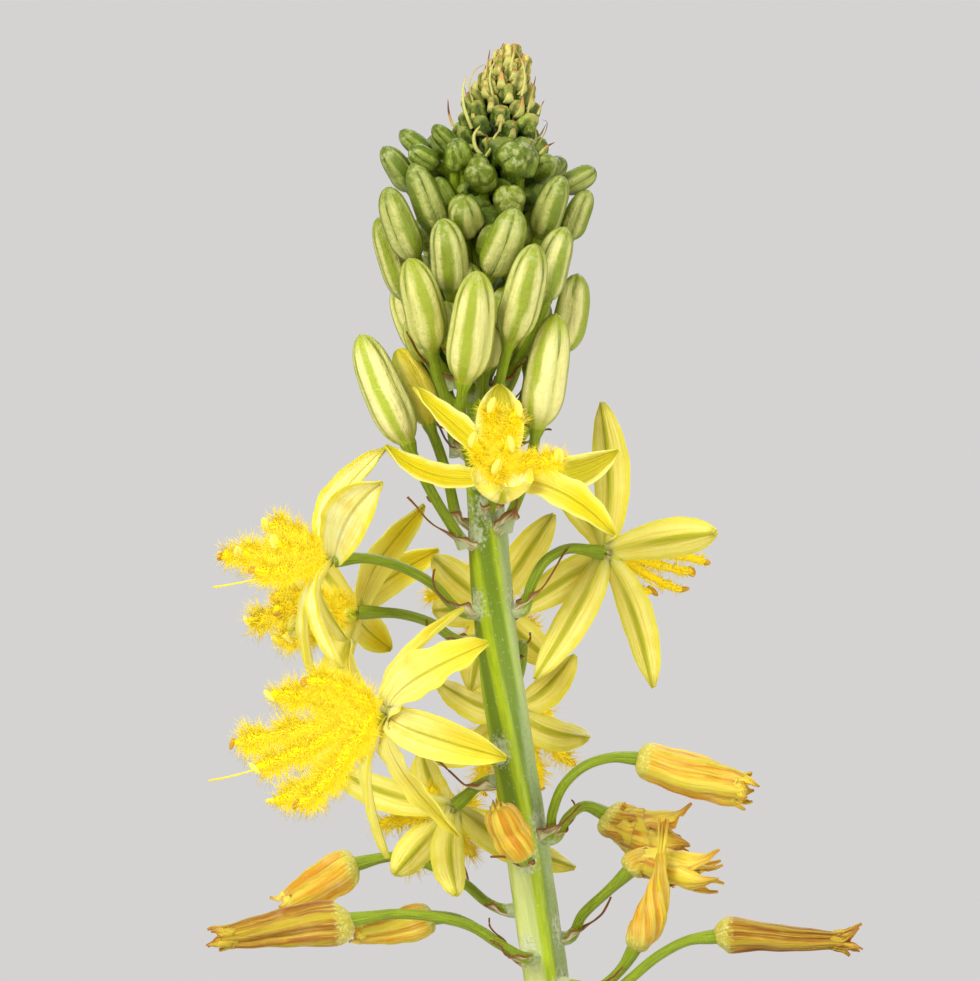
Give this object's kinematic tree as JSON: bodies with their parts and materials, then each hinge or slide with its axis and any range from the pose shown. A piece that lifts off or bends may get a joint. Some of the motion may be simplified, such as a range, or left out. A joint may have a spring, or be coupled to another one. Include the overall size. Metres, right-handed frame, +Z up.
{
  "type": "bulbine flower spike in a bottle",
  "caption": "Cut yellow bulbine flower spike with buds, bearded open flowers and faded flowers, standing in a plain clear glass bottle of water.",
  "frame": {"origin": "centre of the bottle's flat foot", "axes": "+Z up the bottle, -Y to the front, +X to the right; the stem leans to -X"},
  "size_m": [0.0457, 0.034, 0.1506],
  "materials": {
    "glass": "clear polished",
    "water": "clear liquid",
    "stem_green": "satin waxy stalk",
    "tip_cream": "dry papery bracts",
    "bud_green": "satin striped buds",
    "tepal_yellow": "soft translucent petals",
    "stamen_yellow": "hairy filaments",
    "faded_orange": "withered crinkled petals"
  },
  "bodies": {
    "root": {"glass_bottle": "glass", "water": "water", "scape": "stem_green", "raceme_tip": "tip_cream", "bud_01": "bud_green", "bud_02": "bud_green", "bud_03": "bud_green", "bud_04": "bud_green", "bud_05": "bud_green", "bud_06": "bud_green", "bud_07": "bud_green", "bud_08": "bud_green", "bud_09": "bud_green", "bud_10": "bud_green", "bud_11": "bud_green", "bud_12": "bud_green", "bud_13": "bud_green", "bud_14": "bud_green", "bud_15": "bud_green", "bud_16": "bud_green", "bud_17": "bud_green", "bud_18": "bud_green", "bud_19": "bud_green", "bud_20": "bud_green", "bud_21": "bud_green", "bud_22": "bud_green", "bud_23": "bud_green", "bud_24": "bud_green", "bud_25": "bud_green", "bud_26": "bud_green", "bud_27": "bud_green", "bud_28": "bud_green", "bud_29": "bud_green", "bud_30": "bud_green", "bud_31": "bud_green", "flower_1": "tepal_yellow", "flower_1_stamens": "stamen_yellow", "flower_2": "tepal_yellow", "flower_2_stamens": "stamen_yellow", "flower_3": "tepal_yellow", "flower_3_stamens": "stamen_yellow", "flower_4": "tepal_yellow", "flower_4_stamens": "stamen_yellow", "flower_5": "tepal_yellow", "flower_5_stamens": "stamen_yellow", "flower_6": "tepal_yellow", "flower_6_stamens": "stamen_yellow", "flower_7": "tepal_yellow", "flower_7_stamens": "stamen_yellow", "flower_8": "tepal_yellow", "flower_8_stamens": "stamen_yellow", "faded_1": "faded_orange", "faded_2": "faded_orange", "faded_3": "faded_orange", "faded_4": "faded_orange", "faded_5": "faded_orange", "faded_6": "faded_orange", "faded_7": "faded_orange", "faded_8": "faded_orange", "faded_9": "faded_orange"}
  },
  "joints": []
}
